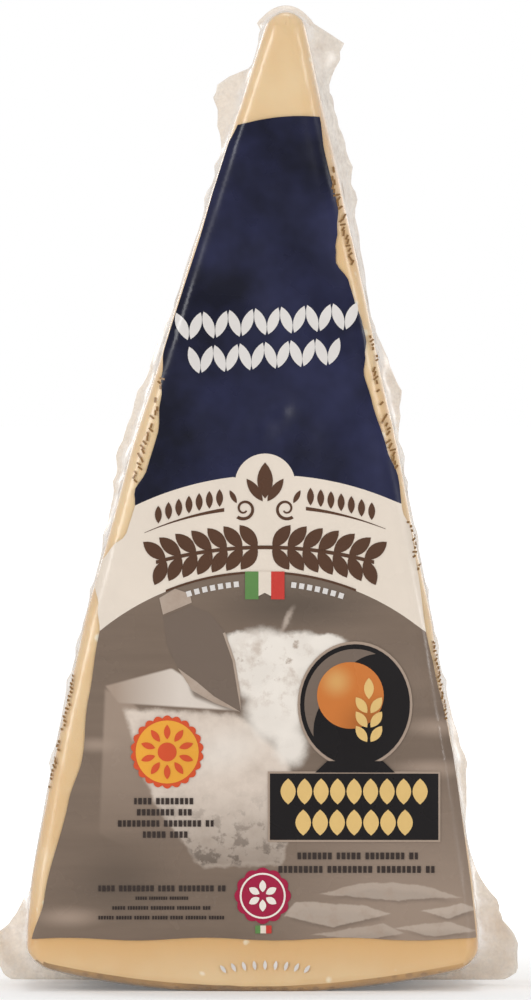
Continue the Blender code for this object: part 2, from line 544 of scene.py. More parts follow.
def paste_material(colours):
    """Cut cheese: pale gold with denser patches, small white crystals and a faint grain."""
    material, nodes, shader = new_material("cheese_paste")
    place = nodes.add("ShaderNodeTexCoord").outputs["Object"]
    dense = nodes.ramp(nodes.noise(place, 42.0, 4.0, 0.55), 0.38, 0.72, 0.0, 0.6)
    tone = nodes.mix(dense, rgba(colours.paste), rgba(colours.paste_deep))
    height = nodes.add("ShaderNodeSeparateXYZ", {"Vector": place}).outputs["Z"]
    # A deeper band just under the label's foot: partly the denser paste near the rind, partly
    # painted shade under the label's edge. Towards the bottom edge it fades paler again, a painted
    # brightening for light thrown up from the floor.
    deep_band_and_shade = nodes.ramp(height, 0.020, 0.011, 0.0, 0.95)
    paler = nodes.ramp(height, 0.0035, 0.0110, 0.10, 1.0)
    tone = nodes.mix(nodes.math("MULTIPLY", deep_band_and_shade, paler), tone, rgba(colours.paste_deep))
    cells = nodes.add("ShaderNodeTexVoronoi", {"Vector": place, "Scale": 190.0})
    dot = nodes.ramp(cells.outputs["Distance"], 0.20, 0.12)
    rare = nodes.ramp(nodes.noise(place, 160.0, 1.0), 0.56, 0.60)
    tone = nodes.mix(nodes.math("MULTIPLY", dot, rare), tone, rgba(colours.crystal))
    spots = nodes.add("ShaderNodeTexVoronoi", {"Vector": place, "Scale": 130.0})
    spot = nodes.ramp(spots.outputs["Distance"], 0.20, 0.08, 0.0, 0.55)
    low = nodes.ramp(height, 0.008, 0.004)
    tone = nodes.mix(nodes.math("MULTIPLY", spot, low), tone, rgba(colours.fleck))
    nodes.tree.links.new(tone, shader.inputs["Base Color"])
    grain = nodes.noise(place, 900.0, 3.0, 0.6)
    bump = nodes.add("ShaderNodeBump", {"Height": grain, "Strength": 0.12, "Distance": 0.0003})
    nodes.tree.links.new(bump.outputs["Normal"], shader.inputs["Normal"])
    rough = nodes.ramp(nodes.noise(place, 90.0), 0.3, 0.7, 0.34, 0.50)
    nodes.tree.links.new(rough, shader.inputs["Roughness"])
    shader.inputs["Subsurface Weight"].default_value = 0.15
    shader.inputs["Subsurface Scale"].default_value = 0.002
    shader.inputs["Subsurface Radius"].default_value = (1.0, 0.6, 0.3)
    return material


def rind_material(colours):
    """The wheel's side: darker, waxy, with rows of small dots pressed into it. Its dark tone is
    partly the rind's own and partly painted shade for the dark line along the foot.
    """
    material, nodes, shader = new_material("cheese_rind")
    place = nodes.add("ShaderNodeTexCoord").outputs["Object"]
    stain = nodes.ramp(nodes.noise(place, 35.0, 5.0, 0.6), 0.3, 0.7)
    tone = nodes.mix(stain, rgba(colours.rind), rgba(colours.paste_deep))
    cells = nodes.add("ShaderNodeTexVoronoi", {"Vector": place, "Scale": 300.0, "Randomness": 0.1})
    dot = nodes.ramp(cells.outputs["Distance"], 0.28, 0.18)
    tone = nodes.mix(nodes.math("MULTIPLY", dot, 0.45), tone, rgba(colours.fleck))
    nodes.tree.links.new(tone, shader.inputs["Base Color"])
    pressed = nodes.math("SUBTRACT", nodes.noise(place, 220.0, 3.0), dot)
    bump = nodes.add("ShaderNodeBump", {"Height": pressed, "Strength": 0.4, "Distance": 0.0004})
    nodes.tree.links.new(bump.outputs["Normal"], shader.inputs["Normal"])
    shader.inputs["Roughness"].default_value = 0.5
    return material


def film_material(colours):
    """Clear film: it mirrors like a thin skin, and turns milky where it stands free."""
    material, nodes, shader = new_material("clear_film")
    shader.inputs["Base Color"].default_value = rgba(colours.film)
    film_finish(nodes, shader, 0.30, 0.50, 0.5)
    shader.inputs["Specular IOR Level"].default_value = 0.3
    free = nodes.add("ShaderNodeAttribute", attribute_name="free").outputs["Fac"]
    place = nodes.add("ShaderNodeTexCoord").outputs["Object"]
    drawn = nodes.add("ShaderNodeMapping", {"Vector": place, "Scale": (1.0, 0.22, 1.0)})
    streak = nodes.ramp(nodes.noise(drawn.outputs[0], 420.0, 3.0, 0.6), 0.32, 0.68, 0.55, 0.92)
    milk = nodes.math("ADD", nodes.math("MULTIPLY", free, streak), 0.02)
    clear = nodes.add("ShaderNodeBsdfTransparent")
    mirror = nodes.add("ShaderNodeBsdfGlossy", {"Roughness": 0.24})
    bump = shader.inputs["Normal"].links[0].from_socket
    nodes.tree.links.new(bump, mirror.inputs["Normal"])
    mirrored = nodes.add("ShaderNodeFresnel", {"IOR": 1.45, "Normal": bump}).outputs["Fac"]
    inside = nodes.add("ShaderNodeNewGeometry").outputs["Backfacing"]
    outside = nodes.math("SUBTRACT", 1.0, inside)
    edge = nodes.math("MULTIPLY", nodes.math("MINIMUM", mirrored, 0.32), outside)
    skin = nodes.add("ShaderNodeMixShader", {0: edge, 1: clear.outputs[0], 2: mirror.outputs[0]})
    whole = nodes.add("ShaderNodeMixShader", {0: milk, 1: skin.outputs[0], 2: shader.outputs[0]})
    output = nodes.tree.nodes["Material Output"]
    nodes.tree.links.new(whole.outputs[0], output.inputs["Surface"])
    return material


# ---------------------------------------------------------------------------------------------
# Cheese and film


class PACK_OT_cheese(bpy.types.Operator):
    """Model the wedge of cheese with its cut faces and its rind"""

    bl_idname = "pack.cheese"
    bl_label = "Cheese"

    PITCH = 0.0025
    SHRINK = 0.00008

    def execute(self, context):
        form = WedgeForm(context.scene.pack_sizes)
        colours = context.scene.pack_colours
        mesh = straight_wedge(form, 4)
        cut_across(mesh, evenly(0.003, form.tip_height - 0.003, self.PITCH), (0, 0, 1))
        cut_across(mesh, evenly(-0.045, 0.045, self.PITCH), (1, 0, 0))
        cut_across(mesh, evenly(-0.032, 0.032, self.PITCH), (0, 1, 0))
        below = [face for face in mesh.faces if face.calc_center_median().z < form.foot_corner / 3]
        flat = {vert: vert.co.y for vert in mesh.verts}
        for vert in mesh.verts:
            vert.co = form.bent(vert.co)
        for face in below:
            if face.normal.z < -0.5:
                face.material_index = 1
        mesh.normal_update()
        for vert in mesh.verts:
            vert.co += vert.normal * (form.relief(flat[vert], vert.co)[0] - self.SHRINK)
        smooth_tip(mesh, form)
        cut_flat(mesh)
        mesh.normal_update()
        cheese = finished(
            mesh, "cheese_wedge", [paste_material(colours), rind_material(colours)]
        )
        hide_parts(PACK_NODE)
        return {"FINISHED"}


class PACK_OT_film(bpy.types.Operator):
    """Wrap the cheese in clear film with a seam and four ears"""

    bl_idname = "pack.film"
    bl_label = "Film"

    PITCH = 0.0018
    SEAM_CUTS = (0.00012, 0.0003, 0.0006, 0.0011, 0.0019, 0.0034, 0.0052)
    # The film is fully milky from this reach on, and a little hazy over the sides.
    MILKY_AT = 0.0013
    SIDE_HAZE = 0.42
    # Half width of the weld along the seam.
    WELD = 0.0013
    # The right side's tent and the veil on it: height of the middle, how far up and down.
    TENT = (0.188, 0.02, 0.06)
    TENT_ROOT = 0.028
    VEIL = (0.190, 0.03, 0.045)
    # How ragged the seam's edge is: share of the reach, and waves to a metre.
    RAGGED = ((0.3, 230, 0.24), (0.7, 700, 0.10))
    CRUMPLE = 0.35

    def execute(self, context):
        form = WedgeForm(context.scene.pack_sizes)
        mesh = straight_wedge(form, 4)
        cut_across(mesh, evenly(0.0012, form.tip_height - 0.001, self.PITCH), (0, 0, 1))
        cut_across(mesh, evenly(-0.046, 0.046, self.PITCH), (1, 0, 0))
        rest = evenly(0.008, 0.034, 0.0026)
        for sign in (-1, 1):
            cut_across(mesh, [sign * y for y in (*self.SEAM_CUTS, *rest)], (0, 1, 0))
        self.clothe(form, mesh)
        smooth_tip(mesh, form)
        cut_flat(mesh)
        bmesh.ops.dissolve_degenerate(mesh, dist=MERGE, edges=mesh.edges[:])
        mesh.normal_update()
        film = finished(mesh, "clear_film", [film_material(context.scene.pack_colours)])
        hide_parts(PACK_NODE)
        return {"FINISHED"}

    def clothe(self, form, mesh):
        """Bends the straight mesh, lifts it off the cheese and draws out the seam."""
        free = mesh.verts.layers.float.new("free")
        flat = {vert: vert.co.copy() for vert in mesh.verts}
        for vert in mesh.verts:
            vert.co = form.bent(vert.co)
        mesh.normal_update()
        for vert in mesh.verts:
            start = flat[vert]
            relief, faced = form.relief(start.y, vert.co)
            x, y, z = vert.co
            side = 1 - faced
            relief += form.pleats(y, z) * side**2
            vert.co += vert.normal * (form.film_lift + relief)
            height, up, down = self.VEIL
            veil = hump(z - height, up, down) * (1 - faced) if x > form.tip_left else 0.0
            vert[free] = max(self.SIDE_HAZE * side, veil)
            if faced == 0 and start.z > form.foot_corner / 2 or abs(x) > 0.03:
                vert[free] = max(vert[free], self.draw_out(form, vert, start.y))

    def draw_out(self, form, vert, depth):
        """Moves a vertex out towards the seam and returns how free the film stands there."""
        x, _, z = vert.co
        on_tip = z > form.tip_height - form.tip_corner
        middle = (form.left_line(z) + form.right_line(z)) / 2
        sign = -1 if x < middle else 1
        flaps = LEFT_FLAPS if sign < 0 else RIGHT_FLAPS
        height, up, down = self.TENT
        tent = hump(z - height, up, down) if sign > 0 and not on_tip else 0.0
        root = form.seam_root + self.TENT_ROOT * tent
        near = clamp(1 - abs(depth) / root) ** (1.6 - 0.7 * tent)
        if near == 0:
            return 0.0
        ragged = 1
        for row, waves, amount in self.RAGGED:
            ragged += amount * noise.noise(Vector((sign, row, z * waves)))
        reach = (form.seam_hem + tallest(z, flaps)) * ragged * near
        if on_tip:
            centre = (form.tip_left + form.tip_right) / 2
            lower = form.tip_height - 2 * form.tip_corner
            out = Vector((x - centre, 0.0, z - lower)).normalized()
            vert.co += out * form.tip_hem * near
            return clamp(form.tip_hem * near / self.MILKY_AT)
        low = clamp((2 * form.foot_corner - z) / form.foot_corner)
        if abs(x) > form.foot_half - form.foot_corner or z > 2 * form.foot_corner:
            vert.co.x += sign * reach
        vert.co.z += (min(z, form.SEAM_CLEAR) - z) * low * near
        sway = form.EAR_SWAY * min(reach / form.EAR_FULL, 1.0) ** 2
        crumple = noise.noise(Vector((z * 140, sign * 2.0, reach * 260)))
        vert.co.y += (sway if z > form.tip_height / 2 else -sway)
        vert.co.y += crumple * self.CRUMPLE * reach
        weld = 0.7 * clamp(1.5 - abs(depth) / self.WELD)
        milk = clamp((reach + low * near * 0.003) / self.MILKY_AT)
        return max(milk * (1 - 0.6 * tent * (1 - near)), weld)


# ---------------------------------------------------------------------------------------------
# Print


class Decal:
    """Flat shapes of one layer of print, cut fine and laid on the film."""

    PITCH = 0.0014
    FINE = 0.0008
    # Overlapping shapes of one layer lie a hair apart.
    HAIR = 0.00001
    HAIRS = 8

    def __init__(self, place):
        self.mesh = bmesh.new()
        self.place = place
        self.count = 0

    def polygon(self, points):
        """Adds one shape, given by its outline in the plane of the front."""
        over = self.HAIR * (self.count % self.HAIRS)
        self.count += 1
        face = self.mesh.faces.new([self.mesh.verts.new((x, -over, z)) for x, z in points])
        face.normal_update()
        if face.normal.y > 0:
            face.normal_flip()

    def laid(self, name, ink):
        """Cuts the shapes into small faces and lays them on the surface."""
        bmesh.ops.triangulate(self.mesh, faces=self.mesh.faces[:])
        for axis, normal, pitch in ((0, (1, 0, 0), self.FINE), (2, (0, 0, 1), self.PITCH)):
            low = min(vert.co[axis] for vert in self.mesh.verts)
            high = max(vert.co[axis] for vert in self.mesh.verts)
            cuts = evenly(low, high, pitch)[1:-1]
            cut_across(self.mesh, cuts, normal)
        for vert in self.mesh.verts:
            over = Vector((0.0, vert.co.y, 0.0))
            vert.co = self.place(vert.co.x, vert.co.z) + over
        self.mesh.normal_update()
        return finished(self.mesh, name, [ink])


def front_layer(form, layer):
    """A decal for one layer of print on the front."""
    lift = form.print_lift + layer * form.print_step
    return Decal(lambda x, z: form.front(x, z, lift))


def round_points(x, z, radius, count=48, start=0.0, end=2 * math.pi, tall=1.0):
    """Points along a circle or an arc of it; tall stretches it upwards."""
    full = abs(end - start - 2 * math.pi) < 1e-9
    steps = count if full else count + 1
    turn = [start + (end - start) * i / count for i in range(steps)]
    return [(x + radius * math.cos(a), z + radius * tall * math.sin(a)) for a in turn]


def lobed_points(x, z, radius, lobes, depth, count=8):
    """Points of a round badge whose rim is scalloped."""
    total = lobes * count
    points = []
    for i in range(total):
        angle = 2 * math.pi * i / total
        reach = radius * (1 - depth + depth * abs(math.cos(lobes * angle / 2)))
        points.append((x + reach * math.sin(angle), z + reach * math.cos(angle)))
    return points


def leaf_points(x, z, long, wide, angle, count=8):
    """Points of a leaf from its stalk at x, z, pointed at both ends; angle is from upright."""
    sides = [(i / count, 1) for i in range(count + 1)]
    sides += [(i / count, -1) for i in range(count - 1, 0, -1)]
    points = []
    for along, sign in sides:
        out = sign * wide / 2 * math.sin(math.pi * along) ** 0.8
        up = along * long
        points.append((
            x + up * math.sin(angle) + out * math.cos(angle),
            z + up * math.cos(angle) - out * math.sin(angle),
        ))
    return points


def bar_points(x, z, wide, tall, angle=0.0):
    """Points of a bar whose middle is x, z, turned by angle."""
    corners = ((-1, -1), (1, -1), (1, 1), (-1, 1))
    points = []
    for right, up in corners:
        a, b = right * wide / 2, up * tall / 2
        points.append((
            x + a * math.cos(angle) - b * math.sin(angle),
            z + a * math.sin(angle) + b * math.cos(angle),
        ))
    return points


def arch(x, middle, top, radius):
    """Height of a circular arch at x, whose top is at middle, top."""
    return top - radius + math.sqrt(radius**2 - (x - middle) ** 2)


def ring_points(x, z, radius, width, start, end, count=24):
    """Points of a curved stroke."""
    outer = round_points(x, z, radius + width / 2, count, start, end)
    inner = round_points(x, z, radius - width / 2, count, start, end)
    return outer + inner[::-1]


# The arches of the print: the x of the middle, the height of the top, and the radius.
LABEL_TOP = (0.0099, 0.1886, 0.045)
CREAM_TOP = (0.0034, 0.1113, 0.067)
CREAM_FOOT = (0.0017, 0.0902, 0.055)
LABEL_FOOT = 0.0113
BUMP = (0.0024, 0.1094, 0.0065)
EDGE_GAP = 0.0004


def label_edge(form, sign, z):
    """The label's left (-1) or right (+1) x at a height, with its tucks."""
    left, right = form.sides(z)
    if sign < 0:
        return left + max(between(z, LEFT_TUCKS), EDGE_GAP)
    return right - max(between(z, RIGHT_TUCKS), EDGE_GAP)


def edge_points(form, sign, low, high, step=0.0012):
    """The label's edge as points from low to high."""
    return [(label_edge(form, sign, z), z) for z in evenly(low, high, step)]


def meeting(form, sign, curve):
    """The height at which the label's edge meets an arch."""
    z = curve[1]
    for _ in range(40):
        z = arch(clamp_to(curve, label_edge(form, sign, z)), *curve)
    return z


def clamp_to(curve, x):
    """Keeps x within the width of an arch."""
    return clamp(x, curve[0] - curve[2], curve[0] + curve[2])


def arch_points(form, curve, step=0.0015):
    """An arch from the label's left edge to its right edge."""
    left = label_edge(form, -1, meeting(form, -1, curve))
    right = label_edge(form, 1, meeting(form, 1, curve))
    return [(x, arch(x, *curve)) for x in evenly(left, right, step)]


def crested(points):
    """The band's upper arch with the round bump in its middle."""
    x, z, radius = BUMP
    reach = [math.hypot(px - x, pz - z) < radius for px, pz in points]
    before = points[: reach.index(True)]
    after = points[len(points) - reach[::-1].index(True):]
    first = math.atan2(before[-1][1] - z, before[-1][0] - x)
    last = math.atan2(after[0][1] - z, after[0][0] - x)
    return before + round_points(x, z, radius, 24, first, last) + after


class PACK_OT_fields(bpy.types.Operator):
    """Lay the label's three fields of colour on the film"""

    bl_idname = "pack.fields"
    bl_label = "Label fields"

    def execute(self, context):
        form = WedgeForm(context.scene.pack_sizes)
        colours = context.scene.pack_colours
        top = arch_points(form, LABEL_TOP)
        waist = crested(arch_points(form, CREAM_TOP))
        hem = arch_points(form, CREAM_FOOT)
        run = evenly(label_edge(form, -1, LABEL_FOOT), label_edge(form, 1, LABEL_FOOT), 0.002)
        foot = [(x, LABEL_FOOT - 0.0003 * math.sin(x * 210 + 0.6)) for x in run]
        cream = printed("ink_cream", colours.cream, 0.03)
        fields = (
            ("label_navy", self.band(form, waist, top), self.navy(colours)),
            ("label_band", self.band(form, hem, waist), cream),
            ("label_stone", self.band(form, foot, hem), self.stone(colours)),
        )
        for name, outline, material in fields:
            decal = front_layer(form, 0)
            decal.polygon(outline)
            decal.laid(name, material)
        return {"FINISHED"}

    def band(self, form, lower, upper):
        """The outline of a field between two lines that both run from left to right."""
        right = edge_points(form, 1, lower[-1][1], upper[-1][1])[1:-1]
        left = edge_points(form, -1, lower[0][1], upper[0][1])[1:-1]
        return lower + right + upper[::-1] + left[::-1]

    def navy(self, colours):
        """Dark ink with cloudy lighter patches: painted soft reflections of the film, which isn't
        quite flat.
        """
        material, nodes, shader = new_material("ink_navy")
        place = nodes.add("ShaderNodeTexCoord").outputs["Object"]
        # Painted reflection: the lighter patches mixed into the ink stand for the film's soft
        # reflections.
        cloud = nodes.ramp(nodes.noise(place, 34.0, 4.0, 0.6), 0.38, 0.68)
        dark = rgba([channel * 0.55 for channel in colours.navy])
        light = rgba([channel * 2.6 + 0.004 for channel in colours.navy])
        inked(nodes, shader, nodes.mix(cloud, dark, light), 0.22, 0.40, 0.35)
        return material

    def stone(self, colours):
        """A soft grey-brown scene: a block of cheese, grated heaps and flakes on a worn table."""
        material, nodes, shader = new_material("ink_stone")
        scene = SoftPicture(nodes)
        scene.tone = nodes.mix(
            scene.cloud(1.0, 0.3, 0.7, stretch=(14.0, 1.0, 130.0)),
            rgba(colours.stone), rgba([channel * 1.25 for channel in colours.stone]),
        )
        scene.paint(colours.stone_dark, scene.spot(0.0085, 0.0830, 0.0260, 0.0075, edge=1.0), 0.8)
        scene.paint(colours.stone_dark, scene.spot(-0.0290, 0.0240, 0.0170, 0.0110, edge=1.0), 0.6)
        across, down = scene.fade("X", -0.004, 0.030), scene.fade("Z", 0.050, 0.018)
        scene.paint(colours.haze, nodes.math("MULTIPLY", across, down), 0.7)
        for x, z, wide, tall in (
            (0.0401, 0.0570, 0.0110, 0.0030), (0.0385, 0.0480, 0.0120, 0.0030),
            (-0.0340, 0.0531, 0.0070, 0.0024), (-0.0400, 0.0160, 0.0100, 0.0030),
        ):
            scene.paint(colours.haze, scene.spot(x, z, wide, tall, edge=1.0), 0.8)
        self.block(scene, colours)
        self.flakes(scene, colours)
        inked(nodes, shader, scene.tone)
        return material

    def block(self, scene, colours):
        """The block's side, top and front, and the heaps beside it."""
        rough = scene.torn(300.0, 0.0022)
        side = scene.patch(BLOCK_SIDE, 0.0010)
        side = scene.nodes.math("MULTIPLY", side, scene.fade("Z", 0.030, 0.056))
        scene.paint(colours.haze, side, 0.75)
        top = scene.patch([BLOCK_BACK, BLOCK_PEAK, BLOCK_RIGHT, BLOCK_TURN], 0.0006)
        scene.paint(colours.haze, top, 1.0)
        lit = scene.nodes.math("MULTIPLY", top, scene.fade("X", -0.0300, -0.0160))
        scene.paint(colours.block_top, lit, 0.85)
        front = scene.patch(BLOCK_FRONT, 0.0016, rough)
        scene.paint(colours.block_front, front)
        grain = scene.nodes.math("MULTIPLY", front, scene.cloud(240.0, 0.42, 0.70))
        scene.paint(colours.block, grain, 0.75)
        low = scene.nodes.math("MULTIPLY", front, scene.fade("Z", 0.044, 0.026))
        scene.paint(colours.stone, low, 0.75)
        pits = scene.nodes.math("MULTIPLY", low, scene.cloud(330.0, 0.54, 0.62))
        scene.paint(colours.stone_dark, pits, 0.8)
        scene.paint(colours.stone, scene.patch(
            [(-0.0150, 0.0668), (-0.0026, 0.0606), (-0.0040, 0.0594), (-0.0135, 0.0630)], 0.0012
        ), 0.85)
        for x, z, wide, tall, edge in HEAPS:
            scene.paint(colours.crumb, scene.spot(x, z, wide, tall, 0.0, edge, rough), 0.92)
        body = scene.spot(0.0050, 0.0690, 0.0140, 0.0120, 0.0, 0.5)
        shadow = scene.nodes.math("MULTIPLY", body, scene.cloud(260.0, 0.50, 0.66))
        scene.paint(colours.block, shadow, 0.75)
        deep = scene.nodes.math("MULTIPLY", body, scene.cloud(300.0, 0.62, 0.70))
        scene.paint(colours.haze, deep, 0.8)
        scene.paint(colours.crumb, scene.spot(-0.0060, 0.0520, 0.0140, 0.0070, 0.3, 1.0), 0.55)
        wisp = scene.spot(0.0071, 0.0800, 0.0010, 0.0046, -0.45, 0.9, rough)
        scene.paint(colours.block, wisp, 0.7)

    def flakes(self, scene, colours):
        """Pale slivers lying at the lower right, each with a shadow under it."""
        rough = scene.torn(160.0, 0.0016)
        for corners, light in FLAKES:
            under = [(x + 0.0005, z - 0.0010) for x, z in corners]
            scene.paint(colours.stone_dark, scene.patch(under, 0.0014, rough), 0.45)
            flake = scene.patch(corners, 0.0004, rough)
            scene.paint(colours.block, flake, light)
            worn = scene.nodes.math("MULTIPLY", flake, scene.cloud(260.0, 0.50, 0.68))
            scene.paint(colours.haze, worn, 0.6)


class SoftPicture:
    """Paints soft shapes over each other in one material, in the plane of the front."""

    FAR = 1000.0

    def __init__(self, nodes):
        self.nodes = nodes
        self.place = nodes.add("ShaderNodeTexCoord").outputs["Object"]
        self.tone = None

    def torn(self, scale, amount):
        """The place, shifted a little at random, so that edges come out crumbly."""
        values = {"Vector": self.place, "Scale": scale, "Detail": 4.0, "Roughness": 0.65}
        shift = self.nodes.add("ShaderNodeTexNoise", values).outputs["Color"]
        values = {0: shift, 1: (0.5, 0.5, 0.5)}
        shift = self.nodes.add("ShaderNodeVectorMath", values, operation="SUBTRACT")
        values = {0: shift.outputs[0], 1: (amount, 0.0, amount), 2: self.place}
        return self.nodes.add("ShaderNodeVectorMath", values, operation="MULTIPLY_ADD").outputs[0]

    def group(self, tree, values):
        node = self.nodes.tree.nodes.new("ShaderNodeGroup")
        node.node_tree = tree
        for name, value in values.items():
            if isinstance(value, bpy.types.NodeSocket):
                self.nodes.tree.links.new(value, node.inputs[name])
            else:
                node.inputs[name].default_value = value
        return node.outputs["Mask"]

    def spot(self, x, z, wide, tall, turn=0.0, edge=0.5, place=None):
        """A mask: 1 in the middle of an ellipse of half size wide and tall, 0 outside it."""
        values = {
            "Place": place or self.place, "Middle": (x, 0.0, z), "Size": (wide, self.FAR, tall),
            "Turn": turn, "Edge": edge,
        }
        return self.group(soft_spot_group(), values)

    def patch(self, corners, edge=0.0006, place=None):
        """A mask: 1 inside a convex shape whose corners run clockwise, fading out over edge."""
        mask = None
        for (x, z), (next_x, next_z) in zip(corners, corners[1:] + corners[:1]):
            inward = Vector((next_z - z, 0.0, x - next_x)).normalized()
            values = {
                "Place": place or self.place, "Point": (x, 0.0, z),
                "Inward": tuple(inward), "Edge": edge,
            }
            side = self.group(soft_side_group(), values)
            mask = side if mask is None else self.nodes.math("MULTIPLY", mask, side)
        return mask

    def cloud(self, scale, low, high, stretch=(1.0, 1.0, 1.0)):
        """Patchy noise: 0 where it is below low, 1 where it is above high."""
        spread = self.nodes.add("ShaderNodeMapping", {"Vector": self.place, "Scale": stretch})
        return self.nodes.ramp(self.nodes.noise(spread.outputs[0], scale, 5.0, 0.62), low, high)

    def paint(self, ink, mask, strength=1.0):
        """Lays a colour over what is painted so far, where the mask is."""
        mask = self.nodes.math("MULTIPLY", mask, strength)
        self.tone = self.nodes.mix(mask, self.tone, rgba(ink))

    def fade(self, axis, start, end):
        """A mask that grows from 0 at start to 1 at end along an axis."""
        split = self.nodes.add("ShaderNodeSeparateXYZ", {"Vector": self.place})
        return self.nodes.ramp(split.outputs[axis], start, end)


def mask_group(name, sockets):
    """An empty node group with the given inputs and one output, Mask."""
    tree = bpy.data.node_groups.new(name, "ShaderNodeTree")
    for label, kind in sockets:
        tree.interface.new_socket(name=label, in_out="INPUT", socket_type="NodeSocket" + kind)
    tree.interface.new_socket(name="Mask", in_out="OUTPUT", socket_type="NodeSocketFloat")
    return tree, Nodes(tree)


def soft_spot_group():
    """A node group: a soft ellipse around a place."""
    if "soft_spot" in bpy.data.node_groups:
        return bpy.data.node_groups["soft_spot"]
    sockets = [("Place", "Vector"), ("Middle", "Vector"), ("Size", "Vector")]
    sockets += [("Turn", "Float"), ("Edge", "Float")]
    tree, nodes = mask_group("soft_spot", sockets)
    given = nodes.add("NodeGroupInput").outputs
    away = nodes.add(
        "ShaderNodeVectorMath", {0: given["Place"], 1: given["Middle"]}, operation="SUBTRACT"
    )
    values = {"Vector": away.outputs[0], "Angle": given["Turn"]}
    turned = nodes.add("ShaderNodeVectorRotate", values, rotation_type="Y_AXIS")
    values = {0: turned.outputs[0], 1: given["Size"]}
    scaled = nodes.add("ShaderNodeVectorMath", values, operation="DIVIDE")
    far = nodes.add("ShaderNodeVectorMath", {0: scaled.outputs[0]}, operation="LENGTH")
    full = nodes.math("SUBTRACT", 1.0, given["Edge"])
    values = {"Value": far.outputs["Value"], "From Min": 1.0, "From Max": full}
    mask = nodes.add("ShaderNodeMapRange", values, interpolation_type="SMOOTHSTEP")
    end = nodes.add("NodeGroupOutput")
    tree.links.new(mask.outputs["Result"], end.inputs["Mask"])
    return tree


def soft_side_group():
    """A node group: 1 on the inward side of a line, with a soft edge."""
    if "soft_side" in bpy.data.node_groups:
        return bpy.data.node_groups["soft_side"]
    sockets = [("Place", "Vector"), ("Point", "Vector"), ("Inward", "Vector"), ("Edge", "Float")]
    tree, nodes = mask_group("soft_side", sockets)
    given = nodes.add("NodeGroupInput").outputs
    away = nodes.add(
        "ShaderNodeVectorMath", {0: given["Place"], 1: given["Point"]}, operation="SUBTRACT"
    )
    values = {0: away.outputs[0], 1: given["Inward"]}
    deep = nodes.add("ShaderNodeVectorMath", values, operation="DOT_PRODUCT")
    values = {"Value": deep.outputs["Value"], "From Min": 0.0, "From Max": given["Edge"]}
    mask = nodes.add("ShaderNodeMapRange", values, interpolation_type="SMOOTHSTEP")
    end = nodes.add("NodeGroupOutput")
    tree.links.new(mask.outputs["Result"], end.inputs["Mask"])
    return tree


# The pictured block's corners. The blade in front of it is given in PACK_OT_picture.
BLOCK_BACK, BLOCK_PEAK = (-0.0325, 0.0660), (-0.0177, 0.0699)
BLOCK_TURN, BLOCK_RIGHT = (-0.0293, 0.0619), (-0.0026, 0.0602)
BLOCK_FRONT = [
    BLOCK_TURN, BLOCK_RIGHT, (0.0078, 0.0505), (0.0099, 0.0412), (0.0067, 0.0268),
    (-0.0116, 0.0262), (-0.0153, 0.0305), (-0.0224, 0.0412),
]
BLOCK_SIDE = [
    BLOCK_BACK, (-0.0250, 0.0620), (-0.0130, 0.0310), (-0.0224, 0.0279), (-0.0338, 0.0337),
]
# Heaps of grated cheese: x, height, half width, half height, softness.
HEAPS = (
    (0.0017, 0.0703, 0.0086, 0.0092, 0.30), (0.0094, 0.0735, 0.0110, 0.0046, 0.35),
    (0.0045, 0.0602, 0.0078, 0.0080, 0.45), (-0.0030, 0.0755, 0.0042, 0.0026, 0.4),
    (0.0078, 0.0530, 0.0050, 0.0060, 0.6), (0.0158, 0.0752, 0.0050, 0.0022, 0.4),
    (0.0095, 0.0650, 0.0080, 0.0100, 0.5),
)
# Flakes at the lower right: their corners, clockwise from the left, and how light they are.
FLAKES = (
    (((0.0131, 0.0208), (0.0243, 0.0237), (0.0350, 0.0233), (0.0458, 0.0201), (0.0279, 0.0194)),
     0.55),
    (((0.0350, 0.0172), (0.0444, 0.0192), (0.0490, 0.0180), (0.0422, 0.0156)), 0.70),
    (((0.0060, 0.0160), (0.0090, 0.0196), (0.0243, 0.0186), (0.0300, 0.0168), (0.0171, 0.0138)),
     0.65),
    (((0.0290, 0.0138), (0.0420, 0.0154), (0.0490, 0.0132), (0.0386, 0.0116)), 0.60),
    (((0.0110, 0.0122), (0.0279, 0.0150), (0.0330, 0.0124), (0.0240, 0.0110)), 0.50),
)


class PACK_OT_picture(bpy.types.Operator):
    """Print a blade over the pictured block of cheese"""

    bl_idname = "pack.picture"
    bl_label = "Label picture"

    def execute(self, context):
        form = WedgeForm(context.scene.pack_sizes)
        colours = context.scene.pack_colours
        steel = mottled("ink_blade", colours.blade, colours.stone, 0.5)
        shine = mottled("ink_shine", colours.haze, colours.block, 0.6)
        tip = (-0.0028, 0.0602)
        left = [(-0.0196, 0.0807), (-0.0187, 0.0746), (-0.0164, 0.0697), (-0.0134, 0.0649),
                (-0.0084, 0.0621)]
        right = [(-0.0030, 0.0649), (-0.0041, 0.0714), (-0.0062, 0.0774), (-0.0095, 0.0815),
                 (-0.0134, 0.0833)]
        decal = front_layer(form, 1)
        decal.polygon([*left, tip, *right])
        decal.laid("label_blade", steel)
        decal = front_layer(form, 2)
        decal.polygon([left[2], left[3], left[4], tip, (-0.0086, 0.0636), (-0.0124, 0.0668)])
        decal.polygon([tip, *right[:3], (-0.0067, 0.0772), (-0.0046, 0.0712), (-0.0036, 0.0650)])
        decal.polygon([(-0.0196, 0.0812), (-0.0134, 0.0838), (-0.0138, 0.0857), (-0.0170, 0.0868),
                       (-0.0204, 0.0848)])
        decal.laid("label_blade_shine", shine)
        return {"FINISHED"}


def mottled(name, light, dark, amount):
    """Ink of one tone, broken by softer patches of another."""
    material, nodes, shader = new_material(name)
    place = nodes.add("ShaderNodeTexCoord").outputs["Object"]
    patch = nodes.ramp(nodes.noise(place, 140.0, 6.0, 0.7), 0.35, 0.75, 0.0, amount)
    inked(nodes, shader, nodes.mix(patch, rgba(light), rgba(dark)))
    return material


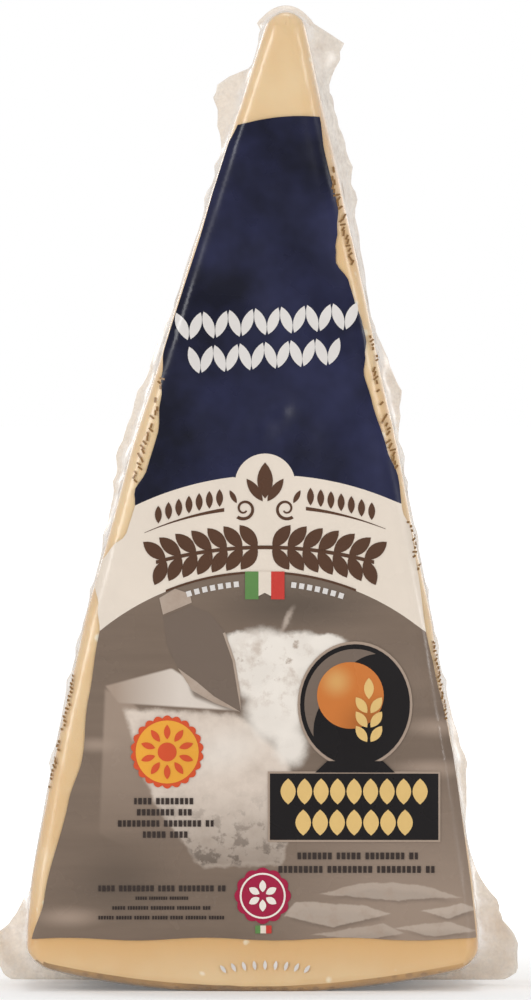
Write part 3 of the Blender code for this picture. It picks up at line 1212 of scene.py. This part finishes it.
class PACK_OT_badges(bpy.types.Operator):
    """Print plain badges: a round seal, a dark oval and panel, a rosette and a ribbon"""

    bl_idname = "pack.badges"
    bl_label = "Badges"

    def execute(self, context):
        form = WedgeForm(context.scene.pack_sizes)
        colours = context.scene.pack_colours
        names = ("orange", "amber", "black", "haze", "blade", "gold", "crimson", "crumb",
                 "green", "red", "cream")
        inks = {name: printed("ink_" + name, getattr(colours, name), 0.05) for name in names}
        self.seal(form, inks)
        self.oval(form, inks)
        self.panel(form, inks)
        self.rosette(form, inks)
        self.ribbon(form, inks)
        return {"FINISHED"}

    def stack(self, form, name, layers):
        """Lays several layers of print on each other. A layer is its outlines and its ink."""
        for number, (outlines, ink) in enumerate(layers):
            decal = front_layer(form, 4 + number)
            for outline in outlines:
                decal.polygon(outline)
            decal.laid(f"{name}_{number + 1}", ink)

    def seal(self, form, inks):
        x, z, radius = -0.0187, 0.0516, 0.0079
        rays = [
            leaf_points(x + 0.0027 * math.sin(a), z + 0.0027 * math.cos(a), 0.0032, 0.0014, a)
            for a in [2 * math.pi * i / 10 for i in range(10)]
        ]
        self.stack(form, "seal", (
            ([lobed_points(x, z, radius, 22, 0.08)], inks["orange"]),
            ([round_points(x, z, radius * 0.86)], inks["amber"]),
            ([round_points(x, z, radius * 0.26, 24)] + rays, inks["orange"]),
        ))

    def oval(self, form, inks):
        x, z, radius, tall = 0.0218, 0.0618, 0.0124, 1.10
        stalk = x + 0.0030
        sprig = [leaf_points(stalk, z + 0.0012, 0.0046, 0.0021, 0.0)]
        for i in range(3):
            sprig += [
                leaf_points(stalk + lean * 0.0006, z - 0.0080 + 0.0031 * i, 0.0042, 0.0020, lean)
                for lean in (-0.62, 0.62)
            ]
        # The sheen is a painted reflection: a grey crescent over the oval's upper left, printed in
        # the blade's ink.
        sheen = self.crescent(x, z, radius * 0.88, 0.0052, 1.15, 3.75, tall)
        self.stack(form, "oval", (
            ([round_points(x, z, radius, tall=tall)], inks["haze"]),
            (
                [round_points(x, z, radius * 0.955, tall=tall), self.neck(x, z, radius)],
                inks["black"],
            ),
            ([sheen], inks["blade"]),
            ([round_points(x - 0.0010, z + 0.0020, radius * 0.58)], self.glow_ink(x, z)),
            (sprig, inks["gold"]),
        ))

    def crescent(self, x, z, radius, thick, start, end, tall):
        """A curved sheen that tapers to a point at both ends."""
        outer, inner = [], []
        for part in evenly(0.0, 1.0, 0.04):
            turn = start + (end - start) * part
            taper = thick * math.sin(math.pi * part)
            for points, reach in ((outer, radius), (inner, radius - taper)):
                points.append((x + reach * math.cos(turn), z + reach * tall * math.sin(turn)))
        return outer + inner[::-1][1:-1]

    def neck(self, x, z, radius):
        """The short dark stem that joins the oval to the panel under it."""
        high, low = z - radius * 0.98, z - radius * 1.18
        return [(x - 0.0086, low), (x + 0.0086, low), (x + 0.0060, high), (x - 0.0060, high)]

    def glow_ink(self, x, z):
        """Copper ink with a painted highlight at its upper left and painted shade at its lower
        right.
        """
        colours = bpy.context.scene.pack_colours
        material, nodes, shader = new_material("ink_copper_glow")
        disc = SoftPicture(nodes)
        # Painted shade: the copper darkens towards the disc's lower right.
        disc.tone = nodes.mix(
            disc.spot(x + 0.0030, z - 0.0050, 0.0090, 0.0090, edge=1.0),
            rgba(colours.copper), rgba([channel * 0.62 for channel in colours.copper]),
        )
        # Painted highlight: a paler gold spot at the disc's upper left.
        disc.paint(colours.gold, disc.spot(x - 0.0040, z + 0.0050, 0.0046, 0.0046, edge=1.0), 0.55)
        inked(nodes, shader, disc.tone)
        return material

    def panel(self, form, inks):
        x, z, wide, tall = 0.0216, 0.0398, 0.0372, 0.0152
        rows = []
        for row, count, run in ((0.0033, 9, 0.0320), (-0.0034, 7, 0.0256)):
            pitch = run / count
            for i in range(count):
                middle = x - run / 2 + pitch * (i + 0.5)
                rows.append(leaf_points(middle, z + row - 0.0028, 0.0056, pitch * 0.92, 0.0))
        self.stack(form, "panel", (
            ([bar_points(x, z, wide, tall)], inks["haze"]),
            ([bar_points(x, z, wide - 0.0009, tall - 0.0009)], inks["black"]),
            (rows, inks["gold"]),
        ))

    def rosette(self, form, inks):
        x, z, radius = 0.0019, 0.0206, 0.0061
        nearly_round = 2 * math.pi - 0.001
        petals = [
            leaf_points(x + 0.0008 * math.sin(a), z + 0.0008 * math.cos(a), 0.0026, 0.0015, a)
            for a in [2 * math.pi * i / 6 for i in range(6)]
        ]
        self.stack(form, "rosette", (
            ([lobed_points(x, z, radius, 12, 0.09)], inks["crimson"]),
            ([ring_points(x, z, radius * 0.78, 0.0004, 0.0, nearly_round, 40)], inks["crumb"]),
            (petals, inks["crumb"]),
        ))

    def ribbon(self, form, inks):
        """A ribbon of three stripes under the garland, and a small one under the rosette."""
        for ink, left, right, small_left, small_right in (
            ("green", -0.0019, 0.0010, 0.0003, 0.0014), ("cream", 0.0010, 0.0037, 0.0014, 0.0026),
            ("red", 0.0037, 0.0066, 0.0026, 0.0038),
        ):
            dip = 0.0007 if ink == "cream" else 0.0
            decal = front_layer(form, 4)
            for start, end, foot, top, notch in (
                (left, right, 0.0845, 0.0905, dip), (small_left, small_right, 0.0125, 0.0142, 0.0),
            ):
                decal.polygon([
                    (start, foot + notch), ((start + end) / 2, foot + 2 * notch),
                    (end, foot + notch), (end, top), (start, top),
                ])
            decal.laid(f"ribbon_{ink}", inks[ink])


class PACK_OT_ornaments(bpy.types.Operator):
    """Print plain ornaments and fine lines where a pack has its writing"""

    bl_idname = "pack.ornaments"
    bl_label = "Ornaments"

    TILT = math.radians(3.6)

    def execute(self, context):
        form = WedgeForm(context.scene.pack_sizes)
        colours = context.scene.pack_colours
        pale = printed("ink_pale", colours.white, 0.05)
        self.frieze(form, pale)
        brown = printed("ink_brown", colours.brown, 0.06)
        self.garland(form, brown)
        self.fine_lines(form, printed("ink_line", colours.ink, 0.05), pale, brown)
        return {"FINISHED"}

    def frieze(self, form, ink):
        """Two rows of upright grains on the dark field, rising a little to the right."""
        decal = front_layer(form, 1)
        for x, z, run, count in ((0.0028, 0.1444, 0.0392, 14), (0.0022, 0.1370, 0.0330, 12)):
            pitch = run / count
            for i in range(count):
                along = pitch * (i + 0.5) - run / 2
                px = x + along * math.cos(self.TILT)
                pz = z + along * math.sin(self.TILT)
                lean = 0.36 if i % 2 else -0.36
                decal.polygon(leaf_points(
                    px - 0.0031 * math.sin(lean), pz - 0.0031 * math.cos(lean), 0.0062, 0.0023, lean
                ))
        decal.laid("frieze", ink)

    def garland(self, form, ink):
        """A branch of broad leaves along the band, with a scroll and beads above it."""
        decal = front_layer(form, 1)
        middle, crown, bow = 0.0024, 0.0957, 0.088
        for sign in (-1, 1):
            for i in range(7):
                out = 0.0016 + 0.0033 * i
                x = middle + sign * out
                z = arch(x, middle, crown, bow)
                slope = math.asin(clamp(out / bow, -1, 1))
                for lean, long in ((0.66, 0.0062), (2.48, 0.0060)):
                    decal.polygon(leaf_points(x, z, long, 0.0029, sign * (lean + slope)))
            run = [middle + sign * out for out in evenly(0.0, 0.0235, 0.0015)]
            stem = [(x, arch(x, middle, crown, bow)) for x in run]
            upper = [(x, z + 0.0004) for x, z in stem]
            decal.polygon(upper + [(x, z - 0.0004) for x, z in stem[::-1]])
            self.scroll(decal, middle, sign)
            self.beads(decal, middle, sign)
            self.swoosh(decal, middle, sign)
        decal.polygon(leaf_points(middle, 0.1062, 0.0078, 0.0034, 0.0))
        for lean in (-0.62, 0.62):
            decal.polygon(leaf_points(middle + lean * 0.0008, 0.1056, 0.0060, 0.0020, lean))
        decal.laid("garland", ink)

    def scroll(self, decal, middle, sign):
        """A curl that runs out from under the sprig and winds itself up."""
        x, z = middle + sign * 0.0045, 0.1040
        outer, inner = [], []
        for part in evenly(0.0, 1.0, 0.03):
            turn = math.pi * (0.72 - 2.5 * part)
            radius = 0.0023 * (1 - 0.72 * part)
            half = 0.00036 * (1 - 0.5 * part)
            for points, reach in ((outer, radius + half), (inner, radius - half)):
                points.append((x - sign * reach * math.cos(turn), z - reach * math.sin(turn)))
        decal.polygon(outer + inner[::-1])
        decal.polygon(leaf_points(x + sign * 0.0016, z + 0.0012, 0.0032, 0.0011, sign * 0.5))

    def beads(self, decal, middle, sign):
        bow = (CREAM_TOP[0], CREAM_TOP[1] - 0.0042, CREAM_TOP[2])
        for i in range(7):
            x = middle + sign * (0.0098 + 0.0022 * i)
            z = arch(x, *bow)
            decal.polygon(leaf_points(x, z - 0.0018, 0.0038, 0.0015, 0.0))

    def swoosh(self, decal, middle, sign):
        bow = (CREAM_TOP[0], CREAM_TOP[1] - 0.0068, CREAM_TOP[2])
        run = evenly(0.0088, 0.0260, 0.0015)
        upper, lower = [], []
        for out in run:
            x = middle + sign * out
            thick = 0.0007 * (1 - (out - run[0]) / (run[-1] - run[0])) + 0.0001
            upper.append((x, arch(x, *bow) + thick / 2))
            lower.append((x, arch(x, *bow) - thick / 2))
        decal.polygon(upper + lower[::-1])

    def words(self, decal, middle, z, run, tall, seed):
        """A row of small upright strokes, grouped as words are."""
        x, number, left = middle - run / 2, 0, 0
        while x < middle + run / 2:
            if left == 0:
                left = 4 + round(5 * abs(math.sin(seed + 2.1 * number)))
                x += tall * 0.45 if number else 0.0
            wide = tall * (0.34 + 0.16 * abs(math.sin(seed + 1.3 * number)))
            decal.polygon(bar_points(x + wide / 2, z, wide, tall * 0.86))
            x += wide + tall * 0.20
            number += 1
            left -= 1

    def fine_lines(self, form, ink, pale, brown):
        decal = front_layer(form, 3)
        for i, run in enumerate((0.0130, 0.0118, 0.0200, 0.0092)):
            self.words(decal, -0.0193, 0.0410 - 0.0024 * i, run, 0.0016, i)
        for i, run in enumerate((0.0256, 0.0338)):
            self.words(decal, 0.0222, 0.0292 - 0.0029 * i, run, 0.0017, 7 + i)
        low_rows = ((0.0270, 0.0015), (0.0110, 0.0008), (0.0210, 0.0009), (0.0270, 0.0009))
        for i, (run, tall) in enumerate(low_rows):
            self.words(decal, -0.0200, 0.0222 - 0.0021 * i, run, tall, 3 * i)
        decal.laid("fine_lines", ink)
        decal = front_layer(form, 2)
        for sign in (-1, 1):
            for i in range(7):
                x = 0.0024 + sign * (0.0062 + 0.0017 * i)
                z = arch(x, *CREAM_FOOT) - 0.0022
                slope = -math.asin((x - CREAM_FOOT[0]) / CREAM_FOOT[2])
                decal.polygon(bar_points(x, z, 0.0011, 0.0012, slope))
        for i in range(9):
            x = 0.0024 + 0.0021 * (i - 4)
            lean = 0.16 * (i - 4)
            decal.polygon(leaf_points(x, 0.0046 - 0.00004 * (i - 4) ** 2, 0.0021, 0.0008, lean))
        decal.laid("pale_lines", pale)
        decal = front_layer(form, 2)
        x_left, x_right = -0.0190, 0.0220
        for left, right in ((x_left, -0.0019), (0.0066, x_right)):
            run = evenly(left, right, 0.0015)
            line = [(x, arch(x, *CREAM_FOOT)) for x in run]
            upper = [(x, z + 0.0004) for x, z in line]
            decal.polygon(upper + [(x, z - 0.0001) for x, z in line[::-1]])
        decal.laid("band_line", brown)


class PACK_OT_side_marks(bpy.types.Operator):
    """Print columns of short marks on the film's two sides"""

    bl_idname = "pack.side_marks"
    bl_label = "Side marks"

    # Stretches of marks on the front: side, from and to which height, gap to the side, length.
    MARGINS = (
        (1, 0.157, 0.177, 0.0013, 0.0014), (1, 0.136, 0.141, 0.0008, 0.0009),
        (1, 0.113, 0.134, 0.0014, 0.0013), (1, 0.091, 0.102, 0.0006, 0.0008),
        (1, 0.057, 0.076, 0.0006, 0.0009), (-1, 0.110, 0.132, 0.0022, 0.0013),
        (-1, 0.044, 0.068, 0.0006, 0.0008),
    )

    def execute(self, context):
        form = WedgeForm(context.scene.pack_sizes)
        ink = printed("ink_side", context.scene.pack_colours.side_ink, 0.1)
        for sign, name in ((-1, "left"), (1, "right")):
            decal = Decal(lambda y, z, sign=sign: form.side(sign, y, z, form.print_lift))
            z, number = 0.030, 0
            while z < 0.176:
                long = 0.003 + 0.004 * abs(math.sin(1.7 * number))
                for column in (-0.0290, -0.0262):
                    tall = long * (0.8 if column > -0.028 else 1.0)
                    decal.polygon(bar_points(column, z, 0.0012, tall))
                z += long + 0.0016
                number += 1
            piece = decal.laid(f"side_marks_{name}", ink)
            if sign < 0:
                piece.data.flip_normals()
        self.edge_marks(form, ink)
        return {"FINISHED"}

    def edge_marks(self, form, ink):
        """Short slanting marks in the clear margins beside the label."""
        decal = front_layer(form, 1)
        for sign, low, high, gap, long in self.MARGINS:
            for z in evenly(low, high, 0.0009):
                x = form.sides(z)[1 if sign > 0 else 0]
                chance = [
                    noise.noise(Vector((sign * k, z * 900, k * 3.7))) for k in (1.3, 2.6, 3.9)
                ]
                if chance[0] < -0.25:
                    continue
                size = long * (0.75 + 0.6 * chance[0])
                middle = x - sign * (gap + 0.0009 * chance[1])
                decal.polygon(bar_points(middle, z, size, 0.0004, sign * 1.1 + 1.6 * chance[2]))
        decal.laid("edge_marks", ink)


# ---------------------------------------------------------------------------------------------
# Stage


class PACK_OT_stage(bpy.types.Operator):
    """Set the floor, the soft lights and the camera"""

    bl_idname = "pack.stage"
    bl_label = "Stage"

    DISTANCE = 4.0
    ELEVATION = math.radians(0.8)
    # The height of the picture at the pack's front, and the point at its middle.
    PICTURE_HEIGHT = 0.2154
    AIM = (0.0025, 0.1059)
    SENSOR = 36.0
    AMBIENT = 0.56
    FLOOR_GLOW = 0.6
    GLOW_FROM = (0.08, 0.5)

    def execute(self, context):
        self.floor(context)
        self.world(context)
        self.lights(context)
        self.camera(context)
        context.scene.view_settings.view_transform = "Standard"
        return {"FINISHED"}

    def floor(self, context):
        mesh = bmesh.new()
        bmesh.ops.create_grid(mesh, x_segments=1, y_segments=1, size=12.0)
        data = bpy.data.meshes.new("floor")
        mesh.to_mesh(data)
        mesh.free()
        material, nodes, shader = new_material("floor")
        shader.inputs["Base Color"].default_value = rgba(context.scene.pack_colours.floor)
        shader.inputs["Roughness"].default_value = 0.9
        shader.inputs["Emission Color"].default_value = (1.0, 1.0, 1.0, 1.0)
        seen = nodes.add("ShaderNodeLightPath").outputs["Is Camera Ray"]
        place = nodes.add("ShaderNodeTexCoord").outputs["Object"]
        away = nodes.add("ShaderNodeVectorMath", {0: place}, operation="LENGTH")
        span = (*self.GLOW_FROM, self.FLOOR_GLOW / 4, self.FLOOR_GLOW)
        bright = nodes.ramp(away.outputs["Value"], *span)
        glow = nodes.math("MULTIPLY", seen, bright)
        nodes.tree.links.new(glow, shader.inputs["Emission Strength"])
        data.materials.append(material)
        piece = bpy.data.objects.new("floor", data)
        context.scene.collection.objects.link(piece)

    def world(self, context):
        world = bpy.data.worlds.new("studio")
        context.scene.world = world
        world.use_nodes = True
        nodes = Nodes(world.node_tree)
        world.node_tree.nodes.clear()
        path = nodes.add("ShaderNodeLightPath")
        rays = (path.outputs["Is Camera Ray"], path.outputs["Is Transmission Ray"])
        seen = nodes.math("MAXIMUM", *rays)
        strength = nodes.ramp(seen, 0.0, 1.0, self.AMBIENT, 1.0)
        light = nodes.add("ShaderNodeBackground", {"Strength": strength})
        light.inputs["Color"].default_value = (1.0, 1.0, 1.0, 1.0)
        output = nodes.add("ShaderNodeOutputWorld")
        world.node_tree.links.new(light.outputs[0], output.inputs["Surface"])

    def lights(self, context):
        for name, place, size, power in (
            ("key", (-0.80, -1.23, 0.36), 0.40, 5.4),
            ("fill", (0.85, -1.20, 0.26), 0.26, 2.4),
            ("top", (0.05, 0.15, 1.30), 0.6, 3.0),
            ("back_left", (-0.9, 1.0, 0.5), 0.4, 2.8),
            ("back_right", (1.1, 0.7, 0.4), 0.4, 2.8),
        ):
            data = bpy.data.lights.new(name, "AREA")
            data.shape = "DISK"
            data.size = size
            data.energy = power
            lamp = bpy.data.objects.new(name, data)
            lamp.location = place
            towards = Vector((0.0, 0.0, 0.1)) - Vector(place)
            lamp.rotation_euler = towards.to_track_quat("-Z", "Y").to_euler()
            context.scene.collection.objects.link(lamp)

    def camera(self, context):
        data = bpy.data.cameras.new("camera")
        data.sensor_width = self.SENSOR
        data.lens = self.SENSOR * self.DISTANCE / self.PICTURE_HEIGHT
        data.clip_end = 50.0
        camera = bpy.data.objects.new("camera", data)
        front = LOWEST.y
        target = Vector((self.AIM[0], front, self.AIM[1]))
        back = Vector((0.0, -math.cos(self.ELEVATION), math.sin(self.ELEVATION)))
        camera.location = target + back * self.DISTANCE
        camera.rotation_euler = (-back).to_track_quat("-Z", "Y").to_euler()
        context.scene.collection.objects.link(camera)
        context.scene.camera = camera


OPERATORS = (
    PACK_OT_cheese, PACK_OT_film, PACK_OT_fields, PACK_OT_picture, PACK_OT_badges,
    PACK_OT_ornaments, PACK_OT_side_marks, PACK_OT_stage,
)


class PACK_PT_panel(bpy.types.Panel):
    """The steps that make the pack, in order"""

    bl_idname = "PACK_PT_panel"
    bl_label = "Cheese Pack"
    bl_space_type = "VIEW_3D"
    bl_region_type = "UI"
    bl_category = "Cheese Pack"

    def draw(self, context):
        for operator in OPERATORS:
            self.layout.operator(operator.bl_idname)
        for group in (context.scene.pack_sizes, context.scene.pack_colours):
            column = self.layout.column()
            for name in type(group).__annotations__:
                column.prop(group, name)


CLASSES = (WedgeSizes, PackColours, *OPERATORS, PACK_PT_panel)


def register():
    for kind in CLASSES:
        bpy.utils.register_class(kind)
    bpy.types.Scene.pack_sizes = PointerProperty(type=WedgeSizes)
    bpy.types.Scene.pack_colours = PointerProperty(type=PackColours)


def unregister():
    del bpy.types.Scene.pack_sizes
    del bpy.types.Scene.pack_colours
    for kind in reversed(CLASSES):
        bpy.utils.unregister_class(kind)


def main():
    register()
    bpy.ops.pack.cheese()
    bpy.ops.pack.film()
    bpy.ops.pack.fields()
    bpy.ops.pack.picture()
    bpy.ops.pack.badges()
    bpy.ops.pack.ornaments()
    bpy.ops.pack.side_marks()
    bpy.ops.pack.stage()


if __name__ == "__main__":
    main()
